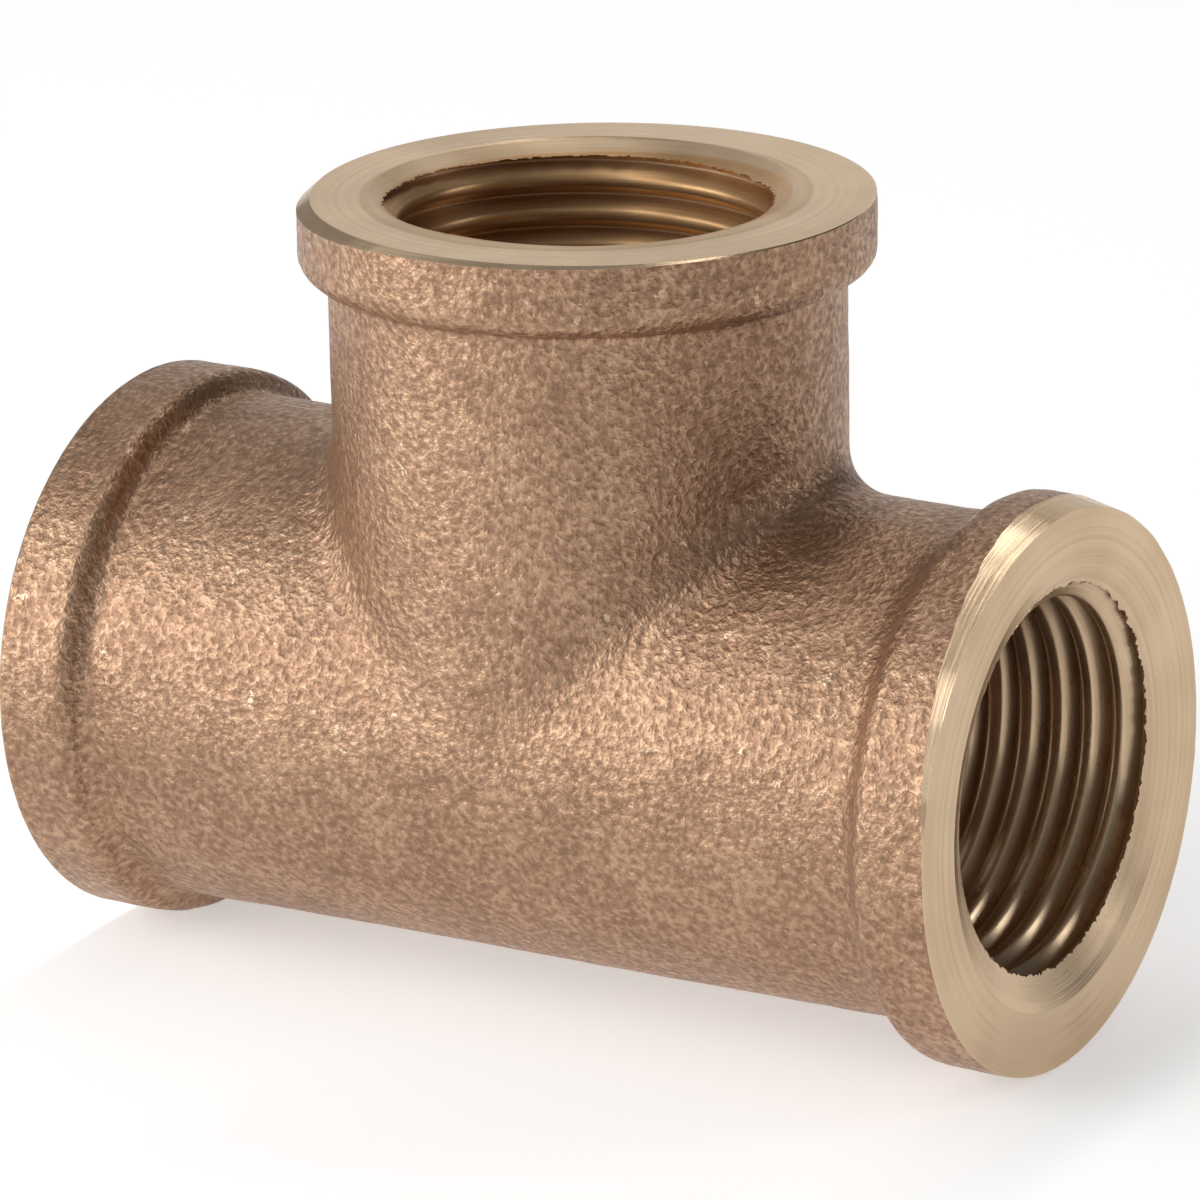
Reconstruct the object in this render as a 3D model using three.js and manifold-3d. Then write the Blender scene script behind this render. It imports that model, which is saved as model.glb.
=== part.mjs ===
// A cast bronze pipe tee with three taper-threaded ports, in millimetres, +Z up.
// The origin is on the surface that the tee stands on, below the point where its axes cross.
// The run lies along X and the branch points up. All of it is one casting, machined afterwards.

import Module from 'manifold-3d';
import * as THREE from 'three';
import { ParametricGeometry } from 'three/addons/geometries/ParametricGeometry.js';
import { mergeGeometries, mergeVertices } from 'three/addons/utils/BufferGeometryUtils.js';

// Casting
const centreToFace = 27.4;
const bandRadius = 14.7;
const bandStraight = 3.2;
const bandRounding = 1.5;
const barrelRadius = 13.1;
const barrelFillet = 0.7;
const branchFillet = 2.4;
const waterwayRadius = 10.7;

// Machining: a straight bore, then a half-inch tapered pipe thread with 14 threads per inch
const faceChamfer = 0.6;
const countersinkRadius = 11.1;
const boreRadius = 9.53;
const threadPitch = 25.4 / 14;
const threadLength = 12;
const rootRadiusAtFace = 10.585;
const rootFlat = 0.1;
const radiusLostPerDepth = 1 / 32;
const flankAngle = THREE.MathUtils.degToRad(30);

// Facets
const skinSegments = 48;
const boreSegments = 40;
const threadStepsPerTurn = 20;
const arcDivisions = 2;
const filletRows = 5;
const weldTolerance = 1e-4;

// Lengths by which solids run into or past one another before they are joined or cut
const overlap = 1;
const toeDepth = 0.05;

// The ports: the turn that carries a solid of revolution from +Y to the port's axis, and the
// place on the circle where its thread starts, in turns
const ports = [
  { turn: new THREE.Euler(0, 0, -Math.PI / 2), threadStart: 0.26 },
  { turn: new THREE.Euler(0, 0, Math.PI / 2), threadStart: 0 },
  { turn: new THREE.Euler(Math.PI / 2, 0, 0), threadStart: 0.42 },
];

const bronze = new THREE.MeshStandardMaterial({ color: 0x9c7658, roughness: 0.55, metalness: 1 });

const wasm = await Module();
wasm.setup();

// A closed geometry as a solid. Triangles that collapse where a surface meets its axis are left out.
function solidFrom(geometry) {
  geometry.deleteAttribute('normal');
  geometry.deleteAttribute('uv');
  const welded = mergeVertices(geometry, weldTolerance);
  const index = welded.index.array;
  const triangles = [];
  for (let i = 0; i < index.length; i += 3) {
    const [a, b, c] = index.subarray(i, i + 3);
    if (a !== b && b !== c && c !== a) {
      triangles.push(a, b, c);
    }
  }
  const mesh = new wasm.Mesh({
    numProp: 3,
    vertProperties: welded.attributes.position.array,
    triVerts: new Uint32Array(triangles),
  });
  return new wasm.Manifold(mesh);
}

// A solid as a geometry
function geometryFrom(solid) {
  const mesh = solid.getMesh();
  const geometry = new THREE.BufferGeometry();
  geometry.setAttribute('position', new THREE.BufferAttribute(mesh.vertProperties, 3));
  geometry.setIndex(new THREE.BufferAttribute(mesh.triVerts, 1));
  geometry.computeVertexNormals();
  return geometry;
}

// A solid of revolution about a port's axis, from a path of (radius, distance along the axis)
function turned(path, segments, port) {
  const geometry = new THREE.LatheGeometry(path.getPoints(arcDivisions), segments);
  geometry.applyMatrix4(new THREE.Matrix4().makeRotationFromEuler(port.turn));
  return solidFrom(geometry);
}

// Barrel and band of one port, from inside the crossing out to the face
function armSkin(port) {
  const bandBack = centreToFace - bandStraight;
  const step = bandRadius - bandRounding - barrelRadius;
  const filletTop = bandBack - bandRounding - step;
  const path = new THREE.Path();
  path.moveTo(0, -overlap);
  path.lineTo(barrelRadius, -overlap);
  path.lineTo(barrelRadius, filletTop - barrelFillet);
  path.quadraticCurveTo(
    barrelRadius, filletTop,
    barrelRadius + barrelFillet * Math.SQRT1_2, bandBack - bandRounding * Math.SQRT1_2,
  );
  path.absarc(bandRadius - bandRounding, bandBack, bandRounding, -Math.PI / 4, 0);
  path.lineTo(bandRadius, centreToFace - faceChamfer);
  path.lineTo(bandRadius - faceChamfer, centreToFace);
  path.lineTo(0, centreToFace);
  return turned(path, skinSegments, port);
}

// The branch barrel with the fillet that joins it to the run. The fillet is widest along the run
// and dies out where the two barrels are tangent. Its toe lies just under the run's surface.
function branchSkin() {
  const top = centreToFace - bandStraight;
  const heightOnRun = (radius, angle) => {
    const across = radius * Math.sin(angle);
    return Math.sqrt(Math.max(barrelRadius ** 2 - across ** 2, 0));
  };
  const rowCount = filletRows + 2;
  const surface = (u, v, target) => {
    const angle = 2 * Math.PI * (u % 1);
    const row = Math.round(v * rowCount);
    if (row === 0 || row === rowCount) {
      return target.set(0, 0, row === 0 ? 0 : top);
    }
    if (row === rowCount - 1) {
      return target.set(barrelRadius * Math.cos(angle), barrelRadius * Math.sin(angle), top);
    }
    const width = branchFillet * Math.cos(angle) ** 2;
    const foot = new THREE.Vector2(
      barrelRadius + width - toeDepth,
      heightOnRun(barrelRadius + width, angle) - toeDepth,
    );
    const crease = new THREE.Vector2(barrelRadius, heightOnRun(barrelRadius, angle));
    const head = new THREE.Vector2(barrelRadius, crease.y + width);
    const fillet = new THREE.QuadraticBezierCurve(foot, crease, head);
    const point = fillet.getPoint((row - 1) / (filletRows - 1));
    return target.set(point.x * Math.cos(angle), point.x * Math.sin(angle), point.y);
  };
  return solidFrom(new ParametricGeometry(surface, skinSegments, rowCount));
}

// The cored waterway of one arm, from the crossing to the inner end of the thread
function waterway(port) {
  const path = new THREE.Path();
  path.moveTo(0, -overlap);
  path.lineTo(waterwayRadius, -overlap);
  path.lineTo(waterwayRadius, centreToFace - threadLength);
  path.lineTo(0, centreToFace - threadLength);
  return turned(path, boreSegments, port);
}

// The 45 degree countersink at the mouth of a port, reaching inside the bore
function countersink(port) {
  const tip = boreRadius - overlap;
  const path = new THREE.Path();
  path.moveTo(0, centreToFace - countersinkRadius + tip);
  path.lineTo(tip, centreToFace - countersinkRadius + tip);
  path.lineTo(countersinkRadius + overlap, centreToFace + overlap);
  path.lineTo(0, centreToFace + overlap);
  return turned(path, boreSegments, port);
}

// One pitch of the thread's section at a depth below the face, as (radius, distance outwards).
// The crests lie on the straight bore and the roots on the taper, so the crests widen with depth.
function threadSection(depth) {
  const rootRadius = rootRadiusAtFace - depth * radiusLostPerDepth;
  const flankRun = (rootRadius - boreRadius) * Math.tan(flankAngle);
  return [
    new THREE.Vector2(boreRadius, 0),
    new THREE.Vector2(boreRadius, threadPitch - rootFlat - 2 * flankRun),
    new THREE.Vector2(rootRadius, threadPitch - rootFlat - flankRun),
    new THREE.Vector2(rootRadius, threadPitch - flankRun),
    new THREE.Vector2(boreRadius, threadPitch),
  ];
}

// The space that the tap leaves. The section follows a helix that turns clockwise on its way in,
// as seen from outside, so one turn's outer edge is the inner edge of the turn before. It starts
// outside the face and ends in the waterway, and a fan to the axis closes each end.
function threadedBore(port) {
  const lastCorner = threadSection(0).length - 1;
  const lastStep = Math.ceil((threadLength / threadPitch + 1) * threadStepsPerTurn);
  const pointOn = (step, corner, target) => {
    const turns = step / threadStepsPerTurn;
    const depth = turns * threadPitch;
    const offset = threadSection(depth)[corner];
    const angle = 2 * Math.PI * (port.threadStart + turns);
    const along = centreToFace - depth + offset.y;
    return target.set(offset.x * Math.cos(angle), along, offset.x * Math.sin(angle));
  };
  const ribbon = new ParametricGeometry(
    (u, v, target) => pointOn(Math.round(v * lastStep), Math.round(u * lastCorner), target),
    lastCorner,
    lastStep,
  );
  // The rim of an open end: one turn along the ribbon's edge, then back across its section
  const rimOf = (edgeStep, edgeCorner, sectionStep) => {
    const rim = [];
    for (let i = 0; i < threadStepsPerTurn; i += 1) {
      rim.push(pointOn(edgeStep + i, edgeCorner, new THREE.Vector3()));
    }
    for (let corner = 0; corner < lastCorner; corner += 1) {
      rim.push(pointOn(sectionStep, corner, new THREE.Vector3()));
    }
    return rim;
  };
  const fanFrom = (rim) => {
    const apex = new THREE.Vector3(0, rim[0].y, 0);
    const surface = (u, v, target) => {
      const around = Math.round(u * rim.length) % rim.length;
      return target.copy(v === 0 ? apex : rim[around]);
    };
    return new ParametricGeometry(surface, rim.length, 1);
  };
  const outerRim = rimOf(0, lastCorner, 0);
  const innerRim = rimOf(lastStep - threadStepsPerTurn, 0, lastStep).reverse();
  const geometry = mergeGeometries([ribbon, fanFrom(outerRim), fanFrom(innerRim)]);
  geometry.applyMatrix4(new THREE.Matrix4().makeRotationFromEuler(port.turn));
  return solidFrom(geometry);
}

function teeBody() {
  let body = branchSkin();
  for (const port of ports) {
    body = body.add(armSkin(port));
  }
  for (const port of ports) {
    body = body.subtract(waterway(port).add(threadedBore(port)).add(countersink(port)));
  }
  const mesh = new THREE.Mesh(geometryFrom(body), bronze);
  mesh.name = 'tee_body';
  mesh.position.z = bandRadius;
  return mesh;
}

const tee = new THREE.Group();
tee.add(teeBody());

export default tee;
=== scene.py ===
"""Looks of a threaded bronze pipe tee: one sand-cast body with three machined, tapped ports.

The tee stands on the floor with its run along X and its branch up Z. Shapes are worked out in millimetres
about the point where the run's and the branch's axes cross, and become metres when a mesh is made.
"""

import math

import bmesh
import bpy
import numpy as np
from mathutils import Matrix, Vector, noise


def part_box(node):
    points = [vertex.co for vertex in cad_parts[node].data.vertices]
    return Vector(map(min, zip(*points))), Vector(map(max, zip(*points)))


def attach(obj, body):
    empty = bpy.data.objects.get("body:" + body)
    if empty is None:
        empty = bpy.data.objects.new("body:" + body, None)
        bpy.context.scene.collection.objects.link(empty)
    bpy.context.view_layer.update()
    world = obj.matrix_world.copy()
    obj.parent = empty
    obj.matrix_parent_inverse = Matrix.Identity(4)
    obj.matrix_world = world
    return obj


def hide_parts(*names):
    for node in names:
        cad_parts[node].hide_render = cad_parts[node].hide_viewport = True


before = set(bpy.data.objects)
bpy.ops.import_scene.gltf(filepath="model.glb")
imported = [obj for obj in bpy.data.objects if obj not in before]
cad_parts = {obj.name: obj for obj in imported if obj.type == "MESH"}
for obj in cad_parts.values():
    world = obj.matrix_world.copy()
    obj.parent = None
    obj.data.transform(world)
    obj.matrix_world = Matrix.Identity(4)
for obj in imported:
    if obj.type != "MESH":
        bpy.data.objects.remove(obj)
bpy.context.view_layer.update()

# Frame ------------------------------------------------------------------------------------------------

MM = 0.001
WHITE = (1, 1, 1, 1)
cad_low, cad_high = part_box("tee_body")
RUN_TO_FACE = cad_high.x / MM
BAND_RADIUS = cad_high.y / MM
AXIS_HEIGHT = BAND_RADIUS
BRANCH_TO_FACE = cad_high.z / MM - AXIS_HEIGHT

# Cast body --------------------------------------------------------------------------------------------

BRANCH_RADIUS = 13.19
RUN_RADIUS_LEFT = 13.44            # the pattern is a little fatter at its left end
RUN_RADIUS_RIGHT = 12.89
RUN_RISE_RIGHT = 0.19              # and its right end sits a little high
ARM_FILLET = 2.6                   # between the run and the branch, where they meet square
LEAST_FILLET = 0.4                 # and where they lie side by side
BRANCH_FADE = 2                    # how fast the branch's distance grows below the run's axis
BAND_ROUNDING = 1.08
BEHIND_BAND = 2                    # how far behind a band's straight part the barrel is measured
BEVEL_LEAST = 0.05                 # the depth of a bevel where it is barely there
WEAR_SLOPE = 0.13                  # how steeply the worn edge of a face falls
BEVEL_LOST_AT = math.radians(-125)  # where a port's face is worn back from its edge the most
BEVEL_LOSS_FOCUS = 2               # how fast that wear falls off round the port
# The unevenness of the bevels, as heights, wavelengths and octaves, and of the cast skin, as
# wavelengths and heights
BEVEL_NOISE = ((0.13, 0.9, 2), (0.16, 7, 1))
LUMP_SIZES = ((5.5, 0.06), (2.1, 0.03), (0.95, 0.016))
LUMP_SEED = 40
SEED_SHIFT = (7.31, 3.77, 5.13)    # how far one seed's noise lies from the next
BAND_INSET = 0.02                  # keeps the cast band inside its nominal radius

# Machined ports ---------------------------------------------------------------------------------------

THREAD_PITCH = 25.4 / 14
CREST_RADIUS = 9.53
ROOT_RADIUS_AT_FACE = 10.585
ROOT_LOST_PER_DEPTH = 1 / 32
ROOT_FLAT = 0.1
FLANK = math.tan(math.radians(30))
# Heights over the crest's radius where the groove's side bends, from root to crest, and the slope of
# the side from the bend before
CREST_ROUNDING = ((0.13, FLANK), (0.05, math.tan(math.radians(48))), (-0.03, math.tan(math.radians(63))))
THREAD_LENGTH = 12.6
THREAD_FADE = 1.3                  # turns over which the thread runs out
LEAST_FADE = 0.02
THREAD_START = -1.3                # the turn at which the groove starts, above the face
WATERWAY_RADIUS = 10.7
WATERWAY_OVERLAP = 0.2             # how far the waterway reaches back into the thread
WATERWAY_STEP = 0.3                # how far inside the crests it starts
WATERWAY_CONE = 1.3                # the length over which it opens out

# Each port, in millimetres and degrees:
#   out, side, up: the axis pointing out of it, and the directions its angles are measured from and towards
#   band_width, back_angle, foot_fillet: the band's straight width, its back's slope, the fillet behind it
#   bevel_depth, bevel_swing, bevel_deepest: the bevel's mean depth, how far it swings, where it is deepest
#   bevel_slope: the radius that the bevel takes off per millimetre of depth
#   bevel_loss, bevel_ragged: how far the face is worn back from its edge, and how uneven the bevel is
#   out_of_round, smallest_at: how much the band's radius varies, and where it is smallest
#   rim_radius, sink_depth, sink_centre: the countersink
#   groove_at, groove_depth: an angle on the thread's first turn, and its depth there in pitches
#   seed: of the bevel's unevenness
PORTS = {
    "right": dict(
        out=(1, 0, 0), side=(0, 1, 0), up=(0, 0, 1), to_face=RUN_TO_FACE,
        band_width=3.3, back_angle=55, foot_fillet=2.0,
        bevel_depth=0.5, bevel_swing=1.3, bevel_deepest=65, bevel_slope=0.22,
        bevel_loss=0, bevel_ragged=1,
        out_of_round=0.09, smallest_at=-25,
        rim_radius=11.59, sink_depth=0.71, sink_centre=(0.08, 0.27),
        groove_at=180, groove_depth=0.737, seed=3,
    ),
    "left": dict(
        out=(-1, 0, 0), side=(0, -1, 0), up=(0, 0, 1), to_face=RUN_TO_FACE,
        band_width=3.3, back_angle=62, foot_fillet=1.0,
        bevel_depth=0.14, bevel_swing=0.06, bevel_deepest=140, bevel_slope=0.6,
        bevel_loss=0, bevel_ragged=0.2,
        out_of_round=0.05, smallest_at=60,
        rim_radius=11.3, sink_depth=0.8, sink_centre=(-0.15, 0.2),
        groove_at=0, groove_depth=0.3, seed=11,
    ),
    "top": dict(
        out=(0, 0, 1), side=(1, 0, 0), up=(0, 1, 0), to_face=BRANCH_TO_FACE,
        band_width=2.73, back_angle=78, foot_fillet=0.4,
        bevel_depth=-0.42, bevel_swing=0.92, bevel_deepest=-155, bevel_slope=0,
        bevel_loss=0.75, bevel_ragged=0.35,
        out_of_round=0, smallest_at=150,
        rim_radius=10.84, sink_depth=0.5, sink_centre=(-0.6, 0.64),
        groove_at=0, groove_depth=0.505, seed=23,
    ),
}

# Looks of the metal, with wavelengths and depths in millimetres ------------------------------------------

# The ranges are the parts of a noise's values that are spread over a whole scale.
GRAIN, COARSE_GRAIN, PATCHES, FLAKES = 0.38, 1.2, 4.5, 1.1
GRAIN_RANGE = (0.35, 0.65)
CAST_TONE_RANGE = (0.37, 0.63)
FLAKE_RANGE = (0.675, 0.695)       # so few and small flakes that they read as single glints
COARSE_SHARE = 0.6                 # of the coarse grain in the skin's relief
CAST_RELIEF = 0.16
PATCH_SHARE = 0.22                 # of the patches in the skin's colour; the rest is grain
CAST_COLOURS = ((0.0, (0.27, 0.160, 0.100)), (0.5, (0.37, 0.222, 0.140)), (1.0, (0.51, 0.330, 0.210)))
FLAKE_COLOUR = (0.53, 0.37, 0.25, 1)
CAST_METALLIC = 0.92
CAST_ROUGHNESS = (0.5, 0.38)       # in the grain's hollows and on its tops
FLAKE_SHINE = -0.18

MARKS, MARK_BANDS, SMUDGE, STAIN = 0.22, 1.1, 3.5, 9.0
SMUDGE_RANGE = (0.35, 0.65)
TURNED_TONE_RANGE = (0.43, 0.57)
MARK_SHARE = 0.45                  # of the turning marks in the turned metal's colour; the rest is stain
BAND_SHARE = 1.2                   # of the broad marks in its relief
TURNED_RELIEF = 0.009
TURNED_COLOURS = ((0.0, (0.53, 0.385, 0.245)), (0.5, (0.59, 0.43, 0.28)), (1.0, (0.65, 0.485, 0.325)))
TURNED_METALLIC = 0.95
TURNED_ROUGHNESS = (0.17, 0.24)
TURNED_TINT = (0.95, 0.89, 0.81, 1)
BRUSHED = 0.55                     # how far reflections stretch across the turning marks
# Inside this radius the thread takes its darker colour: partly a stain, partly painted shade.
BORE_EDGE = 10.3                   # the radius within which a port's metal is its thread
SOFT_EDGE = 0.3                    # over which one finish gives way to another

# The finish of the openings: the axis turned about, the radius within which the metal is duller, how
# much duller it is, and the colour the thread is multiplied by: partly a stain, partly painted shade in the
# bore
RUN_FINISH = ((1, 0, 0), 10.6, 0.08, WHITE)
# The top port's thread is darkened and warmed: partly an orange stain, partly painted shade inside the
# bore.
BRANCH_FINISH_AND_SHADE = ((0, 0, 1), 11.4, 0.2, (0.86, 0.71, 0.53, 1))

# Mesh resolution --------------------------------------------------------------------------------------

SKIN_SEGMENTS = 264                # round each arm; a multiple of 4
SKIN_STEP = 0.36
BEVEL_ROWS = 2
ROUNDING_ROWS = 5
SLOPE_ROWS = 2
FILLET_ROWS = 3
THREAD_STEPS_PER_TURN = 90
RIM_SEGMENTS = 540                 # fine enough for the torn edge where the thread breaks out
WATERWAY_SEGMENTS = 128
SLIDE_ROUNDS = 12                  # Newton steps that bring a point to the skin
SLIDE_STEP = 1e-3
LEAST_SLOPE = 0.2
WELD = 2e-7                        # metres
OVERLAP = 1.0                      # how far a cutter runs past what it opens
TEAR = 0.19                        # how far burrs move the edge between countersink and thread
TEAR_SIZE = 0.3
FINE_TEAR, FINE_TEAR_SCALE = 0.6, 2.3   # the share and scale of the finer burrs
SINK_REACH = 1.6                   # how far a countersink's cutter goes, as a share of the sink's depth
ON_SURFACE = 0.003                 # how near to a surface a face's middle lies if it belongs to it
BORE_SEGMENTS = 120
SHARP_ANGLE = math.radians(32)

# Studio -----------------------------------------------------------------------------------------------

CAMERA_AZIMUTH = 31.746            # degrees; see look_axes
CAMERA_ELEVATION = 17.604
CAMERA_ROLL = -1.109
CAMERA_DISTANCE = 381.2            # millimetres from the run's middle, then a little right and up
CAMERA_RIGHT = 0.193
CAMERA_UP = 5.515
CAMERA_LENS = 221.39
SENSOR_WIDTH = 36
CLIP_START = 0.01                  # metres
FLOOR_SIZE = 6.0                   # metres
FLOOR_COLOUR = (0.85, 0.85, 0.85, 1)
FLOOR_ROUGHNESS = 0.9
FLOOR_SPECULAR = 0.1
FLOOR_GLOW = 0.44
WORLD_BRIGHT_SIDE = (-0.69, -0.69, -0.2)
WORLD_DIM = 0.06
WORLD_BRIGHT = 0.58

# Each soft box: its azimuth and elevation in degrees, its distance, width and height in metres, and
# its power in watts. The overhead one is a long thin strip, which glints along the bevels.
LIGHTS = {
    "key": (-45, 16, 0.5, 0.4, 0.35, 1.43),
    "overhead": (-90, 80, 0.5, 1.2, 0.04, 0.82),
    "backdrop": (208, 18, 0.8, 0.55, 0.5, 0.5),
    "fill": (-8, 33, 0.5, 0.06, 0.42, 0.2),
    "rim": (120, 20, 0.6, 0.1, 0.3, 0.42),
}

# Labels for the tee's material slots and for the kinds of surface on it
CAST, TURNED_RUN, TURNED_BRANCH = 0, 1, 2
OTHER, FLAT, CONE = 0, 1, 2


def unit(vector):
    return np.asarray(vector, float) / np.linalg.norm(vector)


def fractal(points, size, seed, octaves=1):
    """Smooth noise between about -1 and 1 at each point, with the given wavelength."""
    shift = Vector([seed * step for step in SEED_SHIFT])
    value = np.zeros(len(points))
    for octave in range(octaves):
        scale = 2 ** octave / size
        value += [noise.noise(Vector(p) * scale + shift) / 2 ** octave for p in points]
    return value


# The skin's shape ---------------------------------------------------------------------------------------

def run_distance(p):
    """Distance of points outside the run's barrel, and the direction out of it."""
    share = (p[:, 0] + RUN_TO_FACE) / (2 * RUN_TO_FACE)
    radius = RUN_RADIUS_LEFT + (RUN_RADIUS_RIGHT - RUN_RADIUS_LEFT) * share
    across = np.stack([np.zeros(len(p)), p[:, 1], p[:, 2] - RUN_RISE_RIGHT * share], axis=1)
    length = np.linalg.norm(across, axis=1)
    return length - radius, across / length[:, None]


def branch_distance(p):
    """Distance of points outside the branch's barrel, and the direction out of it."""
    across = np.stack([p[:, 0], p[:, 1], np.zeros(len(p))], axis=1)
    length = np.maximum(np.linalg.norm(across, axis=1), 1e-9)
    return length - BRANCH_RADIUS, across / length[:, None]


def body_distance(p):
    """Distance from two barrels joined by a fillet that narrows as they come to lie side by side."""
    run, run_normal = run_distance(p)
    branch, branch_normal = branch_distance(p)
    branch += BRANCH_FADE * np.maximum(-p[:, 2], 0)    # the branch ends at the run's axis
    width = ARM_FILLET * (1 - np.sum(run_normal * branch_normal, axis=1)) + LEAST_FILLET
    overlap = np.maximum(width - np.abs(run - branch), 0) / width
    return np.minimum(run, branch) - overlap ** 2 * width / 4


def slide_to_skin(p, ray):
    """Moves each point along its ray until it lies on the body's skin."""
    for _ in range(SLIDE_ROUNDS):
        here = body_distance(p)
        slope = (body_distance(p + ray * SLIDE_STEP) - here) / SLIDE_STEP
        slope = np.where(np.abs(slope) < LEAST_SLOPE, LEAST_SLOPE, slope)
        p = p - ray * (here / slope)[:, None]
    return p


def radial(p, port):
    """Each point's direction away from a port's axis."""
    out = np.array(port["out"], float)
    across = p - np.outer(p @ out, out)
    return across / np.linalg.norm(across, axis=1)[:, None]


def port_point(port, radius, angle, depth):
    """Points at a radius, angle and depth below the face of a port, about the port's axis."""
    out, side, up = (np.array(port[k], float) for k in ("out", "side", "up"))
    radius, angle, depth = np.broadcast_arrays(radius, angle, depth)
    along = (port["to_face"] - depth)[..., None] * out
    return along + radius[..., None] * (np.cos(angle)[..., None] * side + np.sin(angle)[..., None] * up)


def seam(first, second):
    """The half ring where two arms meet, from the front of the tee to its back."""
    turn = np.linspace(0, math.pi, SKIN_SEGMENTS // 2 + 1)
    both = np.array(first["out"], float) + np.array(second["out"], float)
    outward = unit(both) if both.any() else np.array((0, 0, -1.0))
    reach = BRANCH_RADIUS * (math.sqrt(2) if outward[0] else 1)
    p = np.outer(np.sin(turn) * reach, outward) - np.outer(np.cos(turn) * BRANCH_RADIUS, (0, 1, 0))
    ray = p / np.linalg.norm(p, axis=1)[:, None]
    return slide_to_skin(p, ray)


def bevel(port, angle, skin_radius):
    """Depth of the bevel's lower edge, and the radius of its upper edge, at each angle."""
    ring = np.stack([np.cos(angle), np.sin(angle), np.zeros(len(angle))], axis=1) * BAND_RADIUS
    ragged = sum(height * fractal(ring, size, port["seed"] + number, octaves)
                 for number, (height, size, octaves) in enumerate(BEVEL_NOISE))
    swing = port["bevel_swing"] * np.cos(angle - math.radians(port["bevel_deepest"]))
    lost = port["bevel_loss"] * ((1 + np.cos(angle - BEVEL_LOST_AT)) / 2) ** BEVEL_LOSS_FOCUS
    least = BEVEL_LEAST + WEAR_SLOPE * lost
    depth = np.maximum(port["bevel_depth"] + swing + ragged * port["bevel_ragged"], least)
    return depth, skin_radius - lost - port["bevel_slope"] * depth


def band_rows(port, angle, barrel_radius):
    """Rings of radius and depth from the face's edge, down the band, to the barrel behind it."""
    back_angle = math.radians(port["back_angle"])
    lean = port["out_of_round"] * (1 + np.cos(angle - math.radians(port["smallest_at"])))
    skin_radius = BAND_RADIUS - BAND_INSET - lean
    bevel_depth, face_radius = bevel(port, angle, skin_radius)
    rows = []
    for k in range(BEVEL_ROWS):
        share = k / BEVEL_ROWS
        rows.append((face_radius + (skin_radius - face_radius) * share, bevel_depth * share, False))
    straight_rows = round(port["band_width"] / SKIN_STEP)
    for k in range(straight_rows + 1):
        share = k / straight_rows
        rows.append((skin_radius, bevel_depth + (port["band_width"] - bevel_depth) * share, True))
    for k in range(1, ROUNDING_ROWS + 1):
        t = back_angle * k / ROUNDING_ROWS
        rows.append((skin_radius - BAND_ROUNDING * (1 - math.cos(t)),
                     port["band_width"] + BAND_ROUNDING * math.sin(t) + 0 * angle, True))
    top_radius, top_depth, _ = rows[-1]
    foot_radius = barrel_radius + port["foot_fillet"] * (1 - math.cos(back_angle))
    slope_depth = (top_radius - foot_radius) / math.tan(back_angle)
    for k in range(1, SLOPE_ROWS + 1):
        share = k / SLOPE_ROWS
        radius = top_radius + (foot_radius - top_radius) * share
        rows.append((radius, top_depth + slope_depth * share, True))
    foot_depth = rows[-1][1]
    for k in range(1, FILLET_ROWS + 1):
        t = back_angle * (1 - k / FILLET_ROWS)
        rows.append((barrel_radius + port["foot_fillet"] * (1 - math.cos(t)),
                     foot_depth + port["foot_fillet"] * (math.sin(back_angle) - math.sin(t)), True))
    return rows


def arm_rings(port, seam_ring):
    """All rings of one arm, from its face to its seams with the other arms."""
    out, side, up = (np.array(port[k], float) for k in ("out", "side", "up"))
    start = np.arctan2(seam_ring @ up, seam_ring @ side)
    angle = np.unwrap(start)
    behind_band = port_point(port, BRANCH_RADIUS, angle, port["band_width"] + BEHIND_BAND)
    guess = slide_to_skin(behind_band, radial(behind_band, port))
    barrel_radius = np.linalg.norm(guess - np.outer(guess @ out, out), axis=1)
    rows = band_rows(port, angle, barrel_radius)
    rings = [(port_point(port, radius, angle, depth), cast) for radius, depth, cast in rows]
    last = rings[-1][0]
    length = np.abs((last - seam_ring) @ out).mean()
    count = round(length / SKIN_STEP)
    for k in range(1, count):
        share = k / count
        p = last + (seam_ring - last) * share
        rings.append((slide_to_skin(p, radial(p, port)), True))
    rings.append((seam_ring, True))
    return rings


class MeshMaker:
    """Collects points and faces, each face with its material."""

    def __init__(self):
        self.points = []
        self.faces = []
        self.materials = []
        self.count = 0

    def ring(self, points):
        first = self.count
        self.points.append(points)
        self.count += len(points)
        return np.arange(first, self.count)

    def bridge(self, upper, lower, material):
        for k in range(len(upper)):
            n = (k + 1) % len(upper)
            self.faces.append((upper[k], upper[n], lower[n], lower[k]))
            self.materials.append(material)

    def cap(self, ring, centre, material):
        middle = self.ring(np.array([centre]))[0]
        for k in range(len(ring)):
            n = (k + 1) % len(ring)
            self.faces.append((middle, ring[n], ring[k]))
            self.materials.append(material)


def turned_index(port):
    return TURNED_BRANCH if port["out"][2] else TURNED_RUN


def build_skin():
    """The solid tee before it is bored: three arms that share their seams, each with a flat face."""
    right_top = seam(PORTS["right"], PORTS["top"])
    left_top = seam(PORTS["left"], PORTS["top"])
    under = seam(PORTS["right"], PORTS["left"])
    seams = {
        "right": np.concatenate([right_top[:-1], under[:0:-1]]),
        "left": np.concatenate([left_top[:-1], under[:0:-1]]),
        "top": np.concatenate([right_top[:-1], left_top[:0:-1]]),
    }
    maker = MeshMaker()
    for name, port in PORTS.items():
        rings = arm_rings(port, seams[name])
        turned = turned_index(port)
        ids = [maker.ring(points) for points, _ in rings]
        for k in range(len(ids) - 1):
            maker.bridge(ids[k], ids[k + 1], CAST if rings[k][1] else turned)
        centre = np.array(port["out"], float) * port["to_face"]
        maker.cap(ids[0], centre, turned)
    return maker


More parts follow.
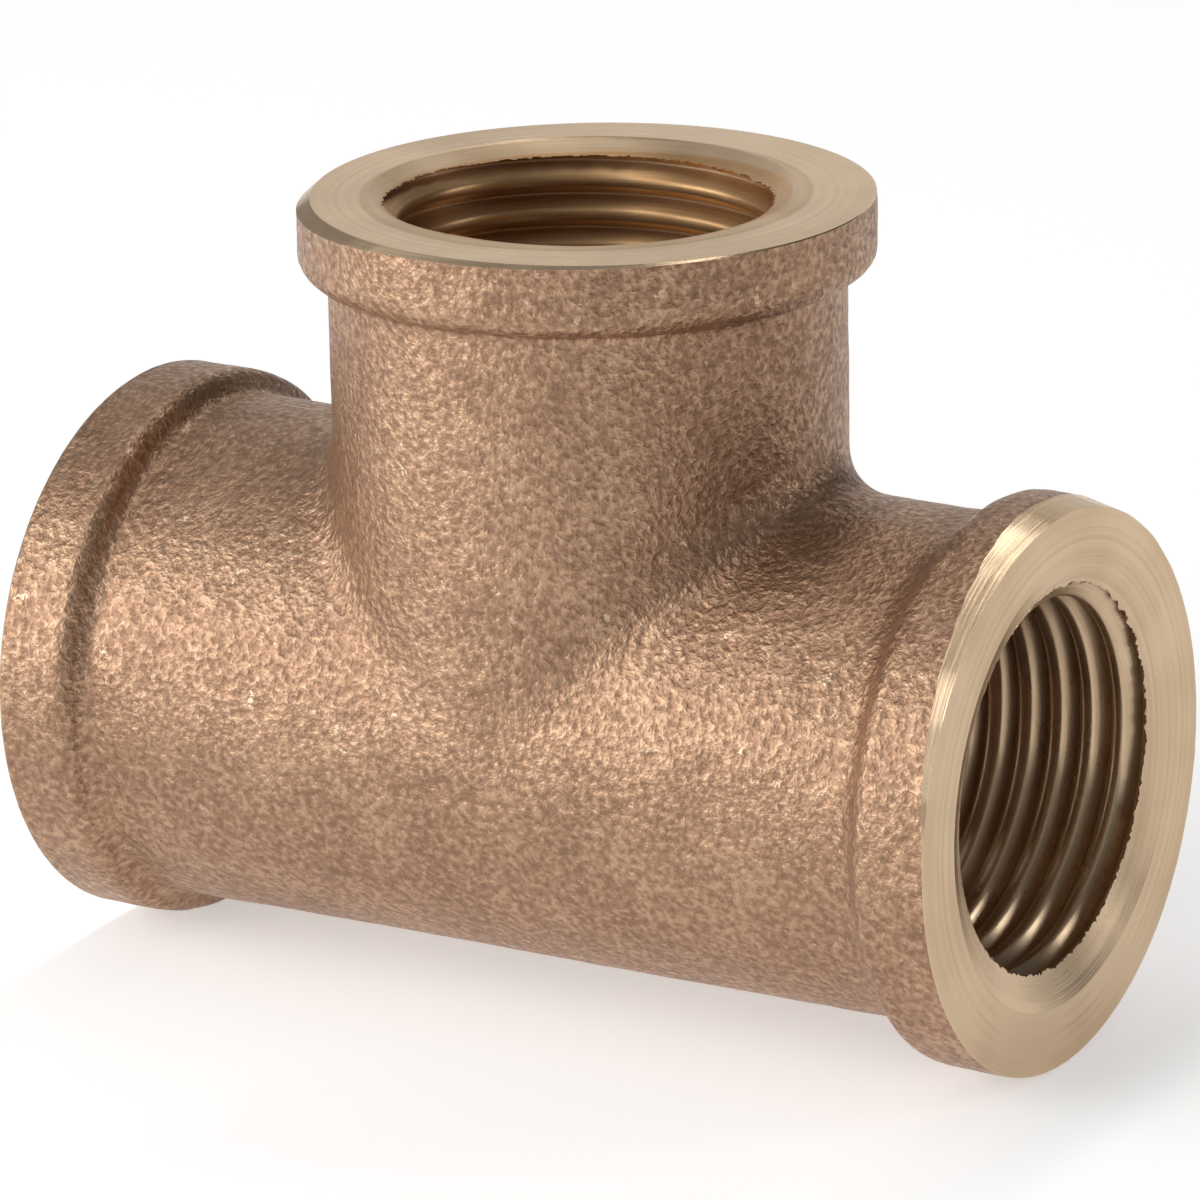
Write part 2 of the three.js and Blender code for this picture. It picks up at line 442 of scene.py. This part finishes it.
def object_from(name, points, faces, materials=None):
    """A mesh object from points in millimetres, welded, with its faces pointing out."""
    mesh = bpy.data.meshes.new(name)
    shifted = (np.asarray(points) + (0, 0, AXIS_HEIGHT)) * MM
    mesh.from_pydata(shifted.tolist(), [], [tuple(int(i) for i in f) for f in faces])
    if materials is not None:
        mesh.polygons.foreach_set("material_index", np.asarray(materials, np.int32))
    shape = bmesh.new()
    shape.from_mesh(mesh)
    bmesh.ops.remove_doubles(shape, verts=shape.verts, dist=WELD)
    bmesh.ops.recalc_face_normals(shape, faces=shape.faces)
    shape.to_mesh(mesh)
    shape.free()
    obj = bpy.data.objects.new(name, mesh)
    bpy.context.scene.collection.objects.link(obj)
    return obj


def roughen(obj):
    """Lifts and sinks the cast skin a little, and leaves the machined faces and their edges true."""
    mesh = obj.data
    count = len(mesh.vertices)
    co = np.zeros(count * 3)
    mesh.vertices.foreach_get("co", co)
    co = co.reshape(-1, 3)
    normal = np.zeros(count * 3)
    mesh.vertices.foreach_get("normal", normal)
    normal = normal.reshape(-1, 3)
    held = np.zeros(count, bool)
    for polygon in mesh.polygons:
        if polygon.material_index != CAST:
            held[list(polygon.vertices)] = True
    lift = np.zeros(count)
    for number, (size, height) in enumerate(LUMP_SIZES):
        lift += height * fractal(co / MM, size, LUMP_SEED + number)
    lift[held] = 0
    co += normal * lift[:, None] * MM
    mesh.vertices.foreach_set("co", co.ravel())
    mesh.update()


# Cutters ------------------------------------------------------------------------------------------------

def lathe(port, outline, segments, centre=(0, 0)):
    """A solid turned about a port's axis and moved sideways. Its outline runs from axis to axis."""
    angle = np.linspace(0, 2 * math.pi, segments, endpoint=False)
    offset = centre[0] * np.array(port["side"]) + centre[1] * np.array(port["up"])
    maker = MeshMaker()
    ids = []
    for radius, depth in outline[1:-1]:
        ids.append(maker.ring(port_point(port, radius, angle, depth) + offset))
    for upper, lower in zip(ids, ids[1:]):
        maker.bridge(upper, lower, 0)
    for ring, (radius, depth) in ((ids[0], outline[0]), (ids[-1], outline[-1])):
        maker.cap(ring, port_point(port, 0, 0, depth) + offset, 0)
    return object_from("cutter", np.concatenate(maker.points), maker.faces)


def sink_slope(port):
    """Radius that a port's countersink loses per millimetre of depth."""
    return (port["rim_radius"] - CREST_RADIUS) / port["sink_depth"]


def sink_offset(port):
    """How far a port's countersink is turned off the port's axis."""
    x, y = port["sink_centre"]
    return x * np.array(port["side"], float) + y * np.array(port["up"])


def countersink(port):
    """The cone that opens a port."""
    rim, slope = port["rim_radius"], sink_slope(port)
    past = SINK_REACH * port["sink_depth"]
    outline = [
        (0, -OVERLAP), (rim + slope * OVERLAP, -OVERLAP), (rim, 0), (rim - slope * past, past), (0, past),
    ]
    return lathe(port, outline, RIM_SEGMENTS, port["sink_centre"])


def surface_kinds(mesh):
    """For each face of the mesh: FLAT on a port's end face, CONE in its countersink, OTHER elsewhere."""
    count = len(mesh.polygons)
    centre = np.zeros(count * 3)
    mesh.polygons.foreach_get("center", centre)
    normal = np.zeros(count * 3)
    mesh.polygons.foreach_get("normal", normal)
    centre = centre.reshape(-1, 3) / MM - (0, 0, AXIS_HEIGHT)
    normal = normal.reshape(-1, 3)
    kinds = np.full(count, OTHER)
    for port in PORTS.values():
        out = np.array(port["out"], float)
        depth = port["to_face"] - centre @ out
        facing = normal @ out
        kinds[(depth < ON_SURFACE) & (facing > 1 - ON_SURFACE)] = FLAT
        sink_axis = sink_offset(port)
        across = centre - np.outer(centre @ out, out) - sink_axis
        radius = np.linalg.norm(across, axis=1)
        gap = port["rim_radius"] - sink_slope(port) * depth - radius
        near = (depth > 0) & (depth < SINK_REACH * port["sink_depth"])
        kinds[near & (np.abs(gap) < ON_SURFACE) & (facing > 0)] = CONE
    return kinds


def finish_edges(tee):
    """Keeps machined edges crisp, and leaves small burrs where a countersink breaks into its thread."""
    mesh = tee.data
    mesh.shade_smooth()
    mesh.set_sharp_from_angle(angle=SHARP_ANGLE)
    kinds = surface_kinds(mesh)
    shape = bmesh.new()
    shape.from_mesh(mesh)
    torn = set()
    for edge in shape.edges:
        first, second = edge.link_faces
        kind = (kinds[first.index], kinds[second.index])
        if kind[0] != kind[1] or first.material_index != second.material_index:
            edge.smooth = False
        if kind in ((CONE, OTHER), (OTHER, CONE)):
            torn.update(edge.verts)
    for vertex in torn:
        p = np.array(vertex.co) / MM - (0, 0, AXIS_HEIGHT)
        port = max(PORTS.values(), key=lambda port: p @ np.array(port["out"], float) - port["to_face"])
        out = np.array(port["out"], float)
        across = p - out * (p @ out) - sink_offset(port)
        along_cone = unit(unit(across) * sink_slope(port) + out)
        spot = vertex.co / (MM * TEAR_SIZE)
        pull = noise.noise(spot) + FINE_TEAR * noise.noise(spot * FINE_TEAR_SCALE)
        vertex.co += Vector(along_cone * pull * TEAR * MM)
    shape.to_mesh(mesh)
    shape.free()


def bore(port):
    """The straight hole that the thread is cut in."""
    outline = [(0, -OVERLAP), (CREST_RADIUS, -OVERLAP), (CREST_RADIUS, THREAD_LENGTH + OVERLAP),
               (0, THREAD_LENGTH + OVERLAP)]
    return lathe(port, outline, BORE_SEGMENTS)


def thread_groove(port):
    """The V groove of the thread as one winding ribbon, from above the face until it fades out."""
    turns = THREAD_LENGTH / THREAD_PITCH
    steps = round((turns - THREAD_START) * THREAD_STEPS_PER_TURN)
    turn = THREAD_START + (turns - THREAD_START) * np.arange(steps + 1) / steps
    clockwise = -2 * math.pi * turn
    angle = math.radians(port["groove_at"]) + clockwise
    depth = (turn + port["groove_depth"]) * THREAD_PITCH
    root = ROOT_RADIUS_AT_FACE - np.maximum(depth, 0) * ROOT_LOST_PER_DEPTH
    fade = np.clip((turns - turn) / THREAD_FADE, LEAST_FADE, 1)
    root = CREST_RADIUS + (root - CREST_RADIUS) * fade
    half_width = ROOT_FLAT / 2
    middle = depth + half_width + (root - CREST_RADIUS) * FLANK
    upper = [port_point(port, root, angle, middle - half_width)]
    lower = [port_point(port, root, angle, middle + half_width)]
    below = root
    for height, slope in CREST_ROUNDING:
        radius = np.minimum(CREST_RADIUS + height, below - 1e-3)
        half_width = half_width + (below - radius) * slope
        upper.insert(0, port_point(port, radius, angle, middle - half_width))
        lower.append(port_point(port, radius, angle, middle + half_width))
        below = radius
    corners = upper + lower
    around = len(corners)
    points = np.stack(corners, axis=1).reshape(-1, 3)
    faces = [tuple(range(around)), tuple(around * steps + k for k in range(around))]
    for step in range(steps):
        first = around * step
        for k in range(around):
            n = (k + 1) % around
            faces.append((first + k, first + n, first + around + n, first + around + k))
    return object_from("cutter", points, faces)


def waterway(port, reach):
    """The cast hollow behind a port's thread, as far as the middle of the tee."""
    start = THREAD_LENGTH - WATERWAY_OVERLAP
    outline = [
        (0, start), (CREST_RADIUS - WATERWAY_STEP, start), (WATERWAY_RADIUS, start + WATERWAY_CONE),
        (WATERWAY_RADIUS, reach), (0, reach),
    ]
    return lathe(port, outline, WATERWAY_SEGMENTS)


def cut(body, cutters):
    """Takes the cutters out of the body. Faces that a cutter leaves take the cutter's material."""
    for cutter, material in cutters:
        cutter.data.materials.clear()
        cutter.data.polygons.foreach_set("material_index", [0] * len(cutter.data.polygons))
        cutter.data.materials.append(material)
        modifier = body.modifiers.new("cut", "BOOLEAN")
        modifier.object = cutter
        modifier.operation = "DIFFERENCE"
        modifier.solver = "MANIFOLD"
        modifier.material_mode = "TRANSFER"
        bpy.context.view_layer.update()
        evaluated = body.evaluated_get(bpy.context.evaluated_depsgraph_get())
        result = bpy.data.meshes.new_from_object(evaluated)
        body.modifiers.clear()
        old = body.data
        body.data = result
        bpy.data.meshes.remove(old)
        bpy.data.objects.remove(cutter)


# Materials ----------------------------------------------------------------------------------------------

class Nodes:
    """A material's node tree, with short ways to add nodes and links."""

    def __init__(self, name):
        self.material = bpy.data.materials.new(name)
        self.material.use_nodes = True
        self.tree = self.material.node_tree
        self.shader = self.tree.nodes["Principled BSDF"]

    def add(self, kind, settings=None, **inputs):
        node = self.tree.nodes.new(kind)
        for key, value in (settings or {}).items():
            setattr(node, key, value)
        for key, value in inputs.items():
            socket = node.inputs[int(key[1:])] if key[0] == "_" else node.inputs[key.replace("_", " ")]
            self.set(socket, value)
        return node

    def set(self, socket, value):
        """Links a socket, or gives a constant, to a socket."""
        if isinstance(value, bpy.types.NodeSocket):
            self.tree.links.new(value, socket)
        else:
            socket.default_value = value

    def math(self, operation, first, second=0.0, third=0.0):
        settings = {"operation": operation}
        return self.add("ShaderNodeMath", settings, _0=first, _1=second, _2=third).outputs[0]

    def vector(self, operation, first, second=None):
        node = self.add("ShaderNodeVectorMath", {"operation": operation}, _0=first)
        if second is not None:
            self.set(node.inputs[1], second)
        return node.outputs["Value" if operation in ("LENGTH", "DOT_PRODUCT") else "Vector"]

    def noise(self, where, size, detail=2.0, roughness=0.5):
        """Noise of the given wavelength in millimetres."""
        return self.add("ShaderNodeTexNoise", Vector=where, Scale=1 / (size * MM), Detail=detail,
                        Roughness=roughness).outputs["Fac"]

    def spread(self, value, low, high, to_low=0.0, to_high=1.0):
        """The value carried from one range to another, and held at the ends."""
        node = self.add("ShaderNodeMapRange", Value=value)
        for socket, number in zip(node.inputs[1:5], (low, high, to_low, to_high)):
            socket.default_value = number
        return node.outputs[0]

    def colours(self, value, *stops):
        """A colour ramp through (place, colour) stops."""
        node = self.add("ShaderNodeValToRGB", Fac=value)
        ramp = node.color_ramp.elements
        while len(ramp) < len(stops):
            ramp.new(0.5)
        for element, (place, colour) in zip(ramp, stops):
            element.position = place
            element.color = (*colour, 1)
        return node.outputs[0]

    def mix(self, share, first, second, kind="MIX"):
        """Two colours mixed by a share, or multiplied."""
        node = self.add("ShaderNodeMix", {"data_type": "RGBA", "blend_type": kind})
        self.set(node.inputs[0], share)
        self.set(node.inputs[6], first)
        self.set(node.inputs[7], second)
        return node.outputs[2]

    def bump(self, height, distance):
        """Relief from a height map, as deep as the distance in millimetres."""
        return self.add("ShaderNodeBump", Height=height, Distance=distance * MM, Strength=1.0).outputs[0]

    def place(self):
        """Where a point is on the object."""
        return self.add("ShaderNodeTexCoord").outputs["Object"]


def cast_bronze():
    """Sand-cast, shot-blasted bronze: a rough brown skin whose grains glint."""
    n = Nodes("cast_bronze")
    where = n.place()
    grain = n.noise(where, GRAIN, detail=2.5, roughness=0.56)
    coarse = n.noise(where, COARSE_GRAIN)
    patches = n.noise(where, PATCHES)
    flakes = n.spread(n.noise(where, FLAKES, detail=3.0, roughness=0.6), *FLAKE_RANGE)
    height = n.math("MULTIPLY_ADD", coarse, COARSE_SHARE, grain)
    tone = n.math("MULTIPLY_ADD", patches, PATCH_SHARE, n.math("MULTIPLY", grain, 1 - PATCH_SHARE))
    colour = n.colours(n.spread(tone, *CAST_TONE_RANGE), *CAST_COLOURS)
    n.set(n.shader.inputs["Base Color"], n.mix(flakes, colour, FLAKE_COLOUR))
    n.shader.inputs["Metallic"].default_value = CAST_METALLIC
    dull = n.spread(grain, *GRAIN_RANGE, *CAST_ROUGHNESS)
    n.set(n.shader.inputs["Roughness"], n.math("MULTIPLY_ADD", flakes, FLAKE_SHINE, dull))
    n.set(n.shader.inputs["Normal"], n.bump(height, CAST_RELIEF))
    return n.material


def turned_bronze(name, axis, opening, bore_roughness, thread_stain_and_shade):
    """Freshly machined bronze: pale and smooth, with fine marks round the axis that it turned on.

    Within the opening, a radius in millimetres, it is duller by bore_roughness, and its thread is darkened
    by a tint that is partly a stain and partly painted shade inside the bore.
    """
    n = Nodes(name)
    where = n.place()
    from_centre = n.vector("SUBTRACT", where, (0, 0, AXIS_HEIGHT * MM))
    along = n.vector("DOT_PRODUCT", from_centre, axis)
    across = n.vector("SUBTRACT", from_centre, n.vector("MULTIPLY", from_centre, axis))
    radius = n.vector("LENGTH", across)
    rings = n.add("ShaderNodeCombineXYZ", _0=radius, _1=along).outputs[0]
    marks = n.noise(rings, MARKS, detail=3.0, roughness=0.7)
    bands = n.noise(rings, MARK_BANDS, detail=1.0)
    smudge = n.noise(where, SMUDGE, detail=3.0, roughness=0.6)
    stain = n.noise(where, STAIN)
    tone = n.math("MULTIPLY_ADD", marks, MARK_SHARE, n.math("MULTIPLY", stain, 1 - MARK_SHARE))
    colour = n.colours(n.spread(tone, *TURNED_TONE_RANGE), *TURNED_COLOURS)
    # Within BORE_EDGE the colour is multiplied by the thread's tint: partly a stain, partly painted shade
    # inside the bore.
    in_bore = n.spread(radius, BORE_EDGE * MM, (BORE_EDGE + SOFT_EDGE) * MM, 1.0, 0.0)
    stained_and_shaded_thread = n.mix(1.0, colour, thread_stain_and_shade, "MULTIPLY")
    n.set(n.shader.inputs["Base Color"], n.mix(in_bore, colour, stained_and_shaded_thread))
    n.shader.inputs["Metallic"].default_value = TURNED_METALLIC
    duller = n.spread(radius, opening * MM, (opening + SOFT_EDGE) * MM, bore_roughness, 0.0)
    roughness = n.spread(smudge, *SMUDGE_RANGE, *TURNED_ROUGHNESS)
    n.set(n.shader.inputs["Roughness"], n.math("ADD", duller, roughness))
    n.shader.inputs["Anisotropic"].default_value = BRUSHED
    n.shader.inputs["Specular Tint"].default_value = TURNED_TINT
    along_marks = n.vector("CROSS_PRODUCT", axis, across)
    normal = n.add("ShaderNodeNewGeometry").outputs["Normal"]
    n.set(n.shader.inputs["Tangent"], n.vector("NORMALIZE", n.vector("CROSS_PRODUCT", along_marks, normal)))
    height = n.math("MULTIPLY_ADD", bands, BAND_SHARE, marks)
    n.set(n.shader.inputs["Normal"], n.bump(height, TURNED_RELIEF))
    return n.material


def floor_material():
    n = Nodes("floor")
    n.shader.inputs["Base Color"].default_value = FLOOR_COLOUR
    n.shader.inputs["Roughness"].default_value = FLOOR_ROUGHNESS
    n.shader.inputs["Specular IOR Level"].default_value = FLOOR_SPECULAR
    n.shader.inputs["Emission Color"].default_value = WHITE
    n.shader.inputs["Emission Strength"].default_value = FLOOR_GLOW
    return n.material


# Assembly -----------------------------------------------------------------------------------------------

def build_tee():
    cast = cast_bronze()
    turned_run = turned_bronze("turned_bronze_run", *RUN_FINISH)
    turned_branch = turned_bronze("turned_bronze_branch", *BRANCH_FINISH_AND_SHADE)
    skin = build_skin()
    tee = object_from("tee_casting", np.concatenate(skin.points), skin.faces, skin.materials)
    for material in (cast, turned_run, turned_branch):
        tee.data.materials.append(material)
    roughen(tee)
    cutters = []
    for port in PORTS.values():
        turned = turned_branch if port["out"][2] else turned_run
        past_middle = 0 if port["out"][2] else OVERLAP
        cutters.append((waterway(port, port["to_face"] + past_middle), cast))
        cutters.append((bore(port), turned))
        cutters.append((countersink(port), turned))
        cutters.append((thread_groove(port), turned))
    cut(tee, cutters)
    finish_edges(tee)
    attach(tee, "root")
    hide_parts("tee_body")


def build_floor():
    mesh = bpy.data.meshes.new("floor")
    half = FLOOR_SIZE / 2
    corners = [(-half, -half, 0), (half, -half, 0), (half, half, 0), (-half, half, 0)]
    mesh.from_pydata(corners, [], [(0, 1, 2, 3)])
    mesh.materials.append(floor_material())
    floor = bpy.data.objects.new("floor", mesh)
    bpy.context.scene.collection.objects.link(floor)


# Camera and light ---------------------------------------------------------------------------------------

def look_axes(azimuth, elevation, roll=0.0):
    """The right, up and back directions of a view: azimuth 0 looks along +Y, elevation is from above."""
    a, e, r = (math.radians(value) for value in (azimuth, elevation, roll))
    back = Vector((math.sin(a) * math.cos(e), -math.cos(a) * math.cos(e), math.sin(e)))
    right = Vector((0, 0, 1)).cross(back).normalized()
    up = back.cross(right)
    return right * math.cos(r) + up * math.sin(r), up * math.cos(r) - right * math.sin(r), back


def build_camera():
    right, up, back = look_axes(CAMERA_AZIMUTH, CAMERA_ELEVATION, CAMERA_ROLL)
    data = bpy.data.cameras.new("camera")
    data.lens = CAMERA_LENS
    data.sensor_width = SENSOR_WIDTH
    data.clip_start = CLIP_START
    camera = bpy.data.objects.new("camera", data)
    bpy.context.scene.collection.objects.link(camera)
    middle = Vector((0, 0, AXIS_HEIGHT * MM))
    place = middle + (back * CAMERA_DISTANCE + right * CAMERA_RIGHT + up * CAMERA_UP) * MM
    turn = Matrix((right, up, back)).transposed().to_4x4()
    camera.matrix_world = Matrix.Translation(place) @ turn
    bpy.context.scene.camera = camera


def build_light(name, azimuth, elevation, distance, width, height, power):
    """A soft box that faces the tee."""
    right, up, back = look_axes(azimuth, elevation)
    data = bpy.data.lights.new(name, "AREA")
    data.shape = "RECTANGLE"
    data.size = width
    data.size_y = height
    data.energy = power
    light = bpy.data.objects.new(name, data)
    bpy.context.scene.collection.objects.link(light)
    middle = Vector((0, 0, AXIS_HEIGHT * MM))
    turn = Matrix((right, up, back)).transposed().to_4x4()
    light.matrix_world = Matrix.Translation(middle + back * distance) @ turn


def build_world():
    """A pale studio, brighter on one side."""
    world = bpy.data.worlds.new("studio")
    world.use_nodes = True
    nodes, links = world.node_tree.nodes, world.node_tree.links
    toward = nodes.new("ShaderNodeVectorMath")
    toward.operation = "DOT_PRODUCT"
    toward.inputs[1].default_value = Vector(WORLD_BRIGHT_SIDE).normalized()
    links.new(nodes.new("ShaderNodeTexCoord").outputs["Generated"], toward.inputs[0])
    strength = nodes.new("ShaderNodeMapRange")
    numbers = {"From Min": -1, "From Max": 1, "To Min": WORLD_DIM, "To Max": WORLD_BRIGHT}
    for socket, number in numbers.items():
        strength.inputs[socket].default_value = number
    links.new(toward.outputs["Value"], strength.inputs["Value"])
    nodes["Background"].inputs["Color"].default_value = WHITE
    links.new(strength.outputs["Result"], nodes["Background"].inputs["Strength"])
    bpy.context.scene.world = world


build_camera()
build_world()
for light_name, box in LIGHTS.items():
    build_light(light_name, *box)
build_floor()
build_tee()
bpy.context.scene.view_settings.view_transform = "Standard"
